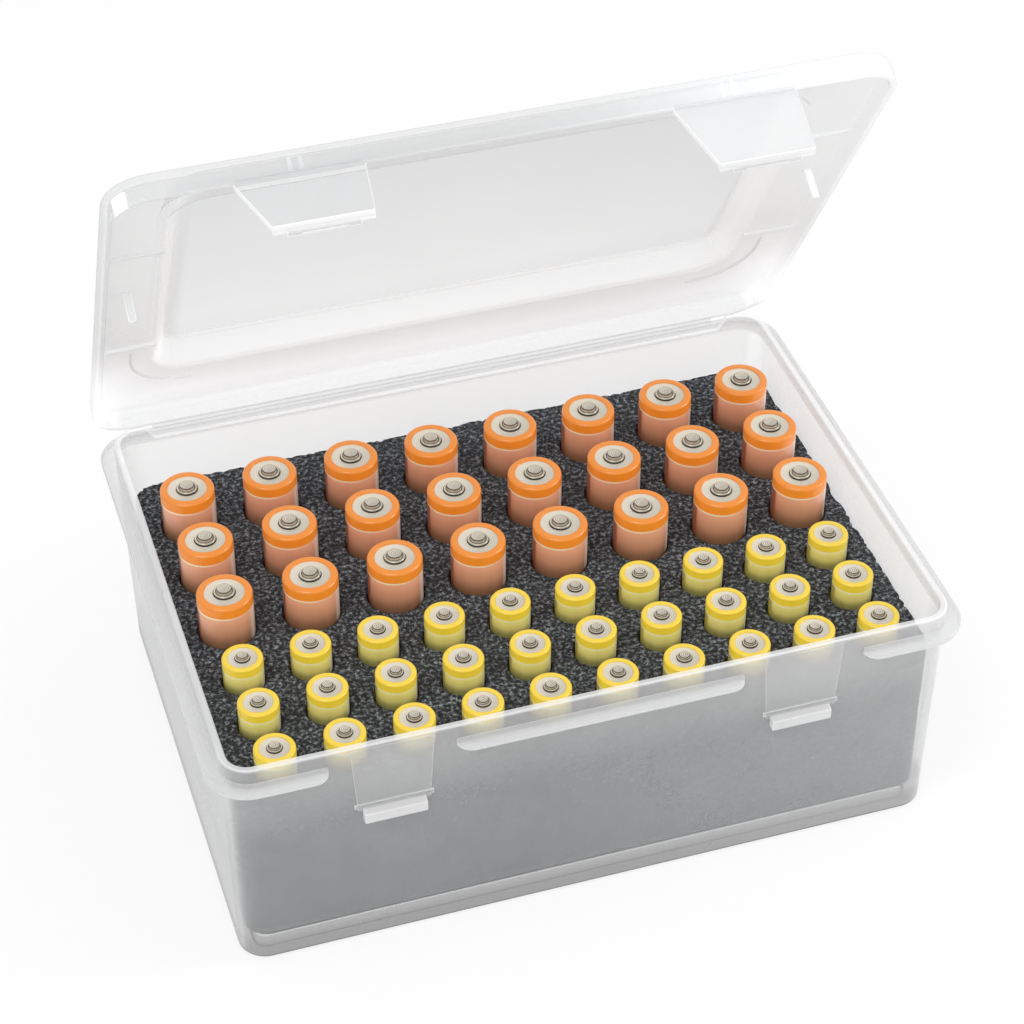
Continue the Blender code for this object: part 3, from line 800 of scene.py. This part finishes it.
def hook_shapes():
    """The hook that goes under the catch bar, the lip along the free edge, and the channel along its foot."""
    outside = ((0, -1, 0),)
    root, narrow = FLAP_THICK - 0.0001, HOOK_HALF * 0.62
    section = [(root, FLAP_END), (HOOK_TIP - 0.0005, FLAP_END), (HOOK_TIP, HOOK_TOP), (root, HOOK_TOP)]
    # The hook's rounded edges, the lip and the channel are in the edge finish, a painted highlight.
    yield "hook", bevelled_block(bar_corners(-HOOK_HALF, HOOK_HALF, section), 0.0003, open_faces=outside)
    section = [(root, FLAP_END), (FLAP_LIP, FLAP_END), (FLAP_LIP, HOOK_TOP), (root, HOOK_TOP)]
    yield "lip", bevelled_block(bar_corners(-FLAP_FOOT, FLAP_FOOT, section), 0.00025, open_faces=outside,
                                tag=EDGE)
    near, far = FLAP_LIP + 0.0002, HOOK_TIP - 0.0007
    low, high = FLAP_END - 0.00005, FLAP_END + 0.0003
    bar = bar_corners(-narrow, narrow, [(near, low), (far, low), (far, high), (near, high)])
    yield "hook_channel", bevelled_block(bar, 0.0001, tag=EDGE)


def film_shape(path, half_width, thickness):
    """A thin strip across a fold: a run of (y, z) points given some thickness and swept along X."""
    sides = []
    for n, (y, z) in enumerate(path):
        before, after = Vector(path[max(n - 1, 0)]), Vector(path[min(n + 1, len(path) - 1)])
        along = (after - before).normalized()
        sides.append((Vector((y, z)), Vector((-along.y, along.x)) * thickness / 2))
    section = [point + off for point, off in sides] + [point - off for point, off in reversed(sides)]
    steps = 8
    return loft([[(-half_width + 2 * half_width * n / steps, y, z) for y, z in section]
                 for n in range(steps + 1)])


def cell_shape(kind, sides):
    """A cell turned about Z, from its foot up to its terminal, with a finish for each of its rings."""
    size = CELLS[kind]
    radius, nub, rise = size.radius, size.nub, size.rise
    top = size.length - rise
    soft = radius * 0.11
    groove = radius * 0.030
    lip = radius * 0.725
    step = nub * 0.74
    rows = [(radius * 0.66, 0.0002, NICKEL), (radius * 0.70, 0.0002, NICKEL), (radius * 0.72, 0.0, SLEEVE)]
    bends = arc(radius, -soft * 0.6, 0, soft * 0.6, 3) + [(radius, top * 0.5)]
    bends += arc(radius, -soft, top, -soft, 5, back=True)
    rows += [(*point, SLEEVE) for point in bends]
    # Rows in the dark finish are painted shade: in the grooves, down the nub's sides and round the edge of
    # its top.
    rows += [
        (lip + 0.00012, top - 0.00002, SLEEVE), (lip, top - 0.00014, SLEEVE),
        (lip - 0.00004, top - 0.00030, SLEEVE), (lip - 0.0001, top - 0.00032, WASHER),
        (radius * 0.52, top - 0.00026, WASHER), (nub + groove, top - 0.00028, WASHER),
        (nub + groove * 0.9, top - 0.00040, DARK), (nub, top - 0.00040, DARK), (nub, top + rise * 0.10, DARK),
        (nub * 0.97, top + rise * 0.22, NICKEL), (nub * 0.90, top + rise * 0.28, NICKEL),
        (step + groove, top + rise * 0.26, NICKEL), (step + groove * 0.8, top + rise * 0.18, DARK),
        (step, top + rise * 0.18, DARK), (step * 0.99, top + rise * 0.78, NICKEL),
        (step * 0.95, top + rise * 0.92, DARK), (step * 0.90, size.length, DARK),
        (step * 0.30, size.length, NICKEL)]
    circle = [math.radians(360 * n / sides) for n in range(sides)]
    rings = [[(r * math.cos(a), r * math.sin(a), min(z, size.length)) for a in circle] for r, z, _ in rows]
    return loft(rings, row_tags=[tag for _, _, tag in rows[1:]], cap_tag=NICKEL)


def foam_shape(low, high, pitch):
    """The foam block, with rounded upright corners and a fine grid over all its faces."""
    shape = bmesh.new()
    bmesh.ops.create_cube(shape, size=1.0)
    for vert in shape.verts:
        vert.co = [(h if c > 0 else l) for c, l, h in zip(vert.co, low, high)]
    upright = [edge for edge in shape.edges if abs(edge.verts[0].co.z - edge.verts[1].co.z) > 0.01]
    bmesh.ops.bevel(shape, geom=upright, offset=FOAM_CORNER, segments=8, profile=0.5, affect="EDGES")
    shape.normal_update()
    for face in shape.faces:
        face.material_index = 1 if abs(face.normal.z) < 0.5 else 0
    for axis, spacing in ((0, pitch), (1, pitch), (2, pitch * 3)):
        normal = [float(n == axis) for n in range(3)]
        count = round((high[axis] - low[axis]) / spacing)
        for n in range(1, count):
            point = [c * (low[axis] + (high[axis] - low[axis]) * n / count) for c in normal]
            everything = shape.verts[:] + shape.edges[:] + shape.faces[:]
            bmesh.ops.bisect_plane(shape, geom=everything, plane_co=point, plane_no=normal)
    shape.normal_update()
    for vert in shape.verts:
        out = Vector((vert.normal.x, vert.normal.y, 0))
        if out.length < 0.3:
            continue
        dent = 0.0008 * max(0.0, 0.10 + noise.noise(vert.co * 160)) * min(1.0, (vert.co.z - low[2]) / 0.012)
        if vert.co.z > high[2] - 0.0001:
            dent += 0.0010 * max(0.0, 1.2 * noise.noise(vert.co * 1370 + Vector((3.1, 7.7, 0))) - 0.05)
        vert.co -= out.normalized() * dent
    return shape


def drill_shape(top):
    """Cutters for the holes, one to each cell, each a little wider where it meets the foam's top."""
    shape = bmesh.new()
    circle = [math.radians(turn) for turn in range(0, 360, 10)]
    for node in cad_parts:
        if "_battery_" not in node:
            continue
        low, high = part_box(node)
        x, y = (low[0] + high[0]) / 2, (low[1] + high[1]) / 2
        radius = (high[0] - low[0]) / 2 + GAP
        profile = ((radius, low[2] - GAP), (radius, top - 0.0009), (radius + HOLE_FLARE, top + 0.0003))
        rings = [[(x + r * math.cos(a), y + r * math.sin(a), z) for a in circle] for r, z in profile]
        loft(rings, shape=shape)
    bmesh.ops.recalc_face_normals(shape, faces=shape.faces)
    return shape


def aimed(name, data, place, view):
    """Put a lamp or a camera at a place, looking along a direction."""
    made = bpy.data.objects.new(name, data)
    made.location = place
    made.rotation_euler = Vector(view).to_track_quat("-Z", "Y").to_euler()
    bpy.context.scene.collection.objects.link(made)
    return made


def swatch(name, place, default):
    """A colour that a user can change."""
    return FloatVectorProperty(name=name, description=f"Colour {place}", size=3, subtype="COLOR",
                               default=default, min=0, max=1)


def measure(name, description, default, least=0.0001):
    """A length that a user can change."""
    return FloatProperty(name=name, description=description, default=default, min=least, unit="LENGTH")


class CaseFinishes(bpy.types.PropertyGroup):
    """Colours of the case's materials."""

    # Painted light and shade: the same plastic is darker on the box's outside skin and lighter on its inside
    # skin.
    shell_colour: swatch("Box plastic", "of the frosted box", (0.74, 0.745, 0.75))
    lit_inside_colour: swatch("Box lining", "of the box plastic on its inside", (0.93, 0.935, 0.94))
    lid_colour: swatch("Lid plastic", "of the frosted lid", (0.67, 0.68, 0.69))
    panel_colour: swatch("Lid panel", "of the lid's raised panel", (0.53, 0.55, 0.58))
    # Painted shade round the box's foot.
    foot_colour: swatch("Foot", "of the box plastic round its foot", (0.36, 0.36, 0.365))
    # Painted highlight along the plastic's rounded edges, and the tone of the catch bars.
    edge_colour: swatch("Plastic edges", "of the plastic along its edges", (0.95, 0.95, 0.955))
    foam_colour: swatch("Foam", "of the foam's raised grain", (0.049, 0.054, 0.060))
    aa_ring: swatch("AA band", "round the top of an AA cell", (0.82, 0.255, 0.021))
    aa_body: swatch("AA body", "of an AA cell's side", (0.90, 0.44, 0.27))
    aaa_ring: swatch("AAA band", "round the top of an AAA cell", (0.87, 0.62, 0.045))
    aaa_body: swatch("AAA body", "of an AAA cell's side", (1.0, 0.90, 0.28))
    washer: swatch("Washer", "of the washer in a cell's top", (0.78, 0.72, 0.60))
    nickel: swatch("Nickel", "of the terminals", (0.66, 0.60, 0.50))
    # Painted shade in the grooves of the terminals and round their edges.
    groove: swatch("Groove", "in the grooves round the terminals", (0.075, 0.062, 0.048))
    floor: swatch("Floor", "of the studio floor", (0.92, 0.92, 0.92))


class CaseSizes(bpy.types.PropertyGroup):
    """Sizes of the case's fine detail."""

    rim_round: measure("Rim rounding", "Radius along the rim of the box", 0.0006)
    ledge_round: measure("Ledge rounding", "Radius along the edge of the ledge", 0.0006)
    skirt_round: measure("Skirt rounding", "Radius along the lid's lower edge", 0.0004)
    lid_round: measure("Lid rounding", "Radius along the lid's upper edge", 0.0020, 0.0005)
    film: measure("Film thickness", "Thickness of the film hinges", 0.0003)
    foam_pitch: measure("Foam grid", "Spacing of the foam's surface grid", 0.0010, 0.0008)
    foam_break: measure("Foam roughness", "How far the foam's top is broken up", 0.0003, 0.0)
    cell_sides: IntProperty(name="Cell sides", description="Sides of each round cell", default=40, min=12,
                            max=96)


# The case's materials. A clear one has its tone, its haze face on, the haze that an edge adds, and the rest.
SOFT = {"gloss": 0.5, "shine": 0.25, "white": 0.95}
CLEAR = {
    # Each function given to a clear material lays painted light on it, and each glow is a painted glow: the
    # plastic emits light though it is no lamp.
    "box_outside": ("shell_colour", 0.19, 0.75, {"light_paint": wall_painted_light, "grit": 0.08}),
    "box_inside": ("lit_inside_colour", 0.07, 0.45, {"light_paint": inside_painted_light, "glow": 0.20, "white": 0.95}),
    "clear_lid": ("lid_colour", 0.18, 0.40, {"light_paint": lid_painted_light, "glow": 0.95, **SOFT}),
    "clear_panel": ("panel_colour", 0.205, 0.30, {"light_paint": panel_painted_light, "glow": 0.18, **SOFT}),
    "clear_flap": ("lid_colour", 0.14, 0.20, {"light_paint": flap_painted_light, "glow": 0.28, **SOFT}),
    "clear_film": ("lid_colour", 0.20, 0.30, {"gloss": 0.40}),
    "catch_plastic": ("edge_colour", 0.52, 0.40, {"white": 0.95}),
}
# These materials get painted shade at the box's left end and its foot.
FOOTED = ("box_outside", "box_inside")
# The edge finishes are painted highlights along rounded edges.
EDGES = {"box_edge": 0.62, "lid_edge": 0.72}
METALS = {  # the tone, the roughness and how metallic
    "washer": ("washer", 0.38, 0.35),
    "nickel": ("nickel", 0.26, 0.55),
    # Painted shade: a dark copy of the nickel in the grooves and round the edges of the terminals.
    "dark_nickel": ("groove", 0.40, 0.30),
}

# Each sleeve has its kind of cell, the shares of its body's colour that it keeps at the top, half way down
# and at the foam, a painted shade, and then the colours of its painted shade strip, its painted highlight
# side and the painted highlight line under its band.
SLEEVES = {
    "aa_sleeve": ("aa", (1, 1, 1), (0.70, 0.66, 0.62), (0.22, 0.22, 0.17),
                  (0.34, 0.085, 0.035), (1.0, 0.86, 0.76), (1.0, 0.86, 0.60)),
    "aaa_sleeve": ("aaa", (1, 1, 1), (0.80, 0.75, 0.74), (0.26, 0.25, 0.28),
                   (0.50, 0.41, 0.08), (0.86, 0.82, 0.58), (1.0, 0.94, 0.62)),
}
# The front row's sleeve is a shaded copy: painted shade where the front wall shades it.
SLEEVES["aaa_sleeve_front"] = ("aaa", (0.66, 0.66, 0.74), *SLEEVES["aaa_sleeve"][2:])


def case_finish(name):
    """One of the case's materials, made the first time that it is asked for."""
    if name in bpy.data.materials:
        return bpy.data.materials[name]
    group = bpy.context.scene.case_finishes
    tones = {key: tuple(getattr(group, key)) for key in CaseFinishes.__annotations__}
    if name in CLEAR:
        tone, haze, edge_haze, rest = CLEAR[name]
        foot = tones["foot_colour"] if name in FOOTED else None
        return clear_finish(name, tones[tone], haze, edge_haze, foot=foot, **rest)
    # Painted shade: the foot's rounding in a darker, hazier copy of the foot colour.
    if name == "foot_rim":
        return clear_finish(name, shaded(tones["foot_colour"], 0.55), 0.62, 0.30)
    if name in EDGES:
        return edge_highlight_finish(name, tones["edge_colour"], EDGES[name])
    if name == "charcoal_foam":
        return foam_finish(tones["foam_colour"])
    if name == "foam_side":
        return foam_side_finish(tones["foam_colour"])
    if name in SLEEVES:
        kind, high, middle, low, *accents = SLEEVES[name]
        body = shaded(tones[f"{kind}_body"], *high)
        shades = (body, shaded(body, *middle), shaded(body, *low), *accents)
        return sleeve_finish(name, CELLS[kind], tones[f"{kind}_ring"], shades)
    if name in METALS:
        tone, roughness, metallic = METALS[name]
        return metal_finish(name, tones[tone], roughness, metallic)
    return floor_finish(tones["floor"])


class CASE_OT_box(bpy.types.Operator):
    """Builds the clear box with its ledge, latch pads and catch bars."""

    bl_idname = "battery_case.box"
    bl_label = "Build box"

    def execute(self, context):
        sizes = context.scene.case_sizes
        clear = [case_finish(name) for name in ("box_outside", "box_edge", "box_inside", "foot_rim")]
        shell = new_piece("box_shell", box_shape(sizes.rim_round), "case", clear)
        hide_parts("case_box")
        for side in ("middle", "rest"):
            new_piece(f"ledge_{side}", ledge_shape(side, sizes.ledge_round), "case", clear)
        clear.append(case_finish("catch_plastic"))
        for side, x in (("left", -LATCH_X), ("right", LATCH_X)):
            for name, shape in pad_shapes(x):
                new_piece(f"{name}_{side}", shape, "case", clear)
        return {"FINISHED"}


class CASE_OT_lid(bpy.types.Operator):
    """Builds the lid with its raised panel, ribs, tabs and gussets."""

    bl_idname = "battery_case.lid"
    bl_label = "Build lid"

    def execute(self, context):
        sizes = context.scene.case_sizes
        clear = [case_finish(name) for name in ("clear_lid", "lid_edge", "clear_panel")]
        lid = new_piece("lid_shell", lid_shape(sizes.skirt_round, sizes.lid_round), "lid", clear, LID_PLACE)
        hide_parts("lid")
        for name, shape in lid_detail_shapes():
            new_piece(f"lid_{name}", shape, "lid", clear, LID_PLACE)
        return {"FINISHED"}


class CASE_OT_latches(bpy.types.Operator):
    """Builds the two latch flaps with their hooks."""

    bl_idname = "battery_case.latches"
    bl_label = "Build latches"

    def execute(self, context):
        clear = [case_finish("clear_flap"), case_finish("lid_edge")]
        for side, x in (("left", -LATCH_X), ("right", LATCH_X)):
            hang = Matrix.Rotation(-FLAP_OPEN[side], 4, "X")
            place = LID_PLACE @ Matrix.Translation((x, LID_FRONT, 0)) @ hang
            flap = new_piece(f"flap_{side}", flap_shape(), f"latch_{side}", clear, place)
            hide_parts(f"latch_{side}")
            for name, shape in hook_shapes():
                new_piece(f"{name}_{side}", shape, f"latch_{side}", clear, place)
        return {"FINISHED"}


class CASE_OT_films(bpy.types.Operator):
    """Builds the film hinges of the lid and of the two latch flaps."""

    bl_idname = "battery_case.films"
    bl_label = "Build film hinges"

    def execute(self, context):
        film = context.scene.case_sizes.film
        clear = [case_finish("clear_film")]
        lid_side = [LID_PLACE @ Vector((0, y, z)) for y, z in FILM_ON_LID]
        path = [*FILM_ON_BOX, (AXIS.y, AXIS.z)] + [(p.y, p.z) for p in lid_side]
        fold = new_piece("lid_film", film_shape(path, HINGE_X, film), None, clear)
        tuple(lid_side[0])
        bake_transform(fold)
        for side, x in (("left", -LATCH_X), ("right", LATCH_X)):
            place = LID_PLACE @ Matrix.Translation((x, LID_FRONT, 0))
            turned = place @ Matrix.Rotation(-FLAP_OPEN[side], 4, "X")
            points = [place @ Vector((0, FILM_DEPTH, z)) for z in FILM_RUN] + [place @ Vector((0, 0, 0))]
            points += [turned @ Vector((0, FILM_DEPTH, -z)) for z in reversed(FILM_RUN)]
            strip = film_shape([(p.y, p.z) for p in points], FLAP_ROOT - 0.0006, film)
            fold = new_piece(f"flap_film_{side}", strip, None, clear, Matrix.Translation((x, 0, 0)))
            tuple(points[1])
            tuple(points[3])
            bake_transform(fold)
        return {"FINISHED"}


class CASE_OT_foam(bpy.types.Operator):
    """Builds the foam insert with a hole for every cell."""

    bl_idname = "battery_case.foam"
    bl_label = "Build foam"

    def execute(self, context):
        sizes = context.scene.case_sizes
        low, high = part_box("foam_insert")
        finishes = [case_finish("charcoal_foam"), case_finish("foam_side")]
        foam = new_piece("foam_block", foam_shape(low, high, sizes.foam_pitch), None, finishes)
        drills = drill_shape(high[2])
        mesh = bpy.data.meshes.new("drills")
        drills.to_mesh(mesh)
        drills.free()
        cutter = bpy.data.objects.new("drills", mesh)
        context.scene.collection.objects.link(cutter)
        holes = foam.modifiers.new("holes", "BOOLEAN")
        holes.operation = "DIFFERENCE"
        holes.solver = "EXACT"
        holes.object = cutter
        context.view_layer.update()
        cut = bpy.data.meshes.new_from_object(foam.evaluated_get(context.evaluated_depsgraph_get()))
        foam.modifiers.clear()
        foam.data = cut
        bpy.data.objects.remove(cutter)
        for vert in cut.vertices:
            if vert.co.z > high[2] - 0.0001:
                vert.co.z -= sizes.foam_break * (0.5 + 0.5 * noise.fractal(vert.co * 700, 1.0, 2.0, 3))
        cut.shade_smooth()
        cut.set_sharp_from_angle(angle=math.radians(40))
        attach(foam, "case")
        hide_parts("foam_insert")
        return {"FINISHED"}


class CASE_OT_cells(bpy.types.Operator):
    """Builds the round cells, each in its hole."""

    bl_idname = "battery_case.cells"
    bl_label = "Build cells"

    def execute(self, context):
        sides = context.scene.case_sizes.cell_sides
        for kind in CELLS:
            models = {}
            for node in sorted(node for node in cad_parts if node.startswith(kind + "_battery")):
                low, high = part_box(node)
                sleeve = "aaa_sleeve_front" if low[1] < FRONT_ROW_Y else f"{kind}_sleeve"
                if sleeve not in models:
                    finishes = [case_finish(name) for name in (sleeve, "washer", "nickel", "dark_nickel")]
                    shape = cell_shape(kind, sides)
                    models[sleeve] = new_piece(f"{sleeve}_model", shape, None, finishes, angle=40)
                cell = bpy.data.objects.new(f"{node}_dressed", models[sleeve].data)
                context.scene.collection.objects.link(cell)
                cell.location = ((low[0] + high[0]) / 2, (low[1] + high[1]) / 2, low[2])
                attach(cell, node)
                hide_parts(node)
            for model in models.values():
                bpy.data.objects.remove(model)
        return {"FINISHED"}


class CASE_OT_stage(bpy.types.Operator):
    """Builds the floor, the lamps, the world and the camera."""

    bl_idname = "battery_case.stage"
    bl_label = "Build stage"

    def execute(self, context):
        scene = context.scene
        shape = bmesh.new()
        bmesh.ops.create_grid(shape, x_segments=1, y_segments=1, size=FLOOR_SIZE)
        floor = new_piece("studio_floor", shape, None, [case_finish("studio_floor")])
        floor.location.z = -FLOOR_DROP
        world = bpy.data.worlds.new("studio_world")
        world.use_nodes = True
        tree = world.node_tree
        sky = tree.nodes["Background"]
        sky.inputs["Color"].default_value = (1, 1, 1, 1)
        rays = tree.nodes.new("ShaderNodeLightPath")
        lift = tree.nodes.new("ShaderNodeMath")
        lift.operation = "MULTIPLY_ADD"
        lift.inputs[1].default_value = SKY_LIFT
        lift.inputs[2].default_value = SKY_STRENGTH
        tree.links.new(rays.outputs["Is Camera Ray"], lift.inputs[0])
        tree.links.new(lift.outputs[0], sky.inputs["Strength"])
        scene.world = world
        for name, (place, size, power) in LAMPS.items():
            lamp = bpy.data.lights.new(name, "AREA")
            lamp.shape = "RECTANGLE"
            lamp.size, lamp.size_y = size
            lamp.energy = power
            aimed(name, lamp, place, Vector(LAMP_AIM) - Vector(place))
        lens = bpy.data.cameras.new("photo_camera")
        lens.lens = LENS_PIXELS / PICTURE_PIXELS * SENSOR
        lens.sensor_width = SENSOR
        scene.camera = aimed("photo_camera", lens, CAMERA_PLACE, CAMERA_VIEW)
        scene.view_settings.view_transform = "Standard"
        return {"FINISHED"}


class CASE_PT_panel(bpy.types.Panel):
    """Lists the case's builders and their settings."""

    bl_idname = "CASE_PT_panel"
    bl_label = "Battery Storage Case"
    bl_space_type = "VIEW_3D"
    bl_region_type = "UI"
    bl_category = "Case"

    def draw(self, context):
        layout = self.layout
        for group in (context.scene.case_sizes, context.scene.case_finishes):
            for name in group.bl_rna.properties.keys():
                if name not in ("name", "rna_type"):
                    layout.prop(group, name)
        for operator in OPERATORS:
            layout.operator(operator.bl_idname)


OPERATORS = (CASE_OT_box, CASE_OT_lid, CASE_OT_latches, CASE_OT_films, CASE_OT_foam, CASE_OT_cells,
             CASE_OT_stage)
CLASSES = (CaseFinishes, CaseSizes, *OPERATORS, CASE_PT_panel)


def register():
    """Register the classes and hang the settings on the scene."""
    for item in CLASSES:
        bpy.utils.register_class(item)
    bpy.types.Scene.case_finishes = PointerProperty(type=CaseFinishes)
    bpy.types.Scene.case_sizes = PointerProperty(type=CaseSizes)


def unregister():
    """Take the settings and the classes away again."""
    del bpy.types.Scene.case_sizes
    del bpy.types.Scene.case_finishes
    for item in reversed(CLASSES):
        bpy.utils.unregister_class(item)


def main():
    """Register the builders and build every piece in order."""
    register()
    bpy.ops.battery_case.box()
    bpy.ops.battery_case.lid()
    bpy.ops.battery_case.latches()
    bpy.ops.battery_case.films()
    bpy.ops.battery_case.foam()
    bpy.ops.battery_case.cells()
    bpy.ops.battery_case.stage()


if __name__ == "__main__":
    main()
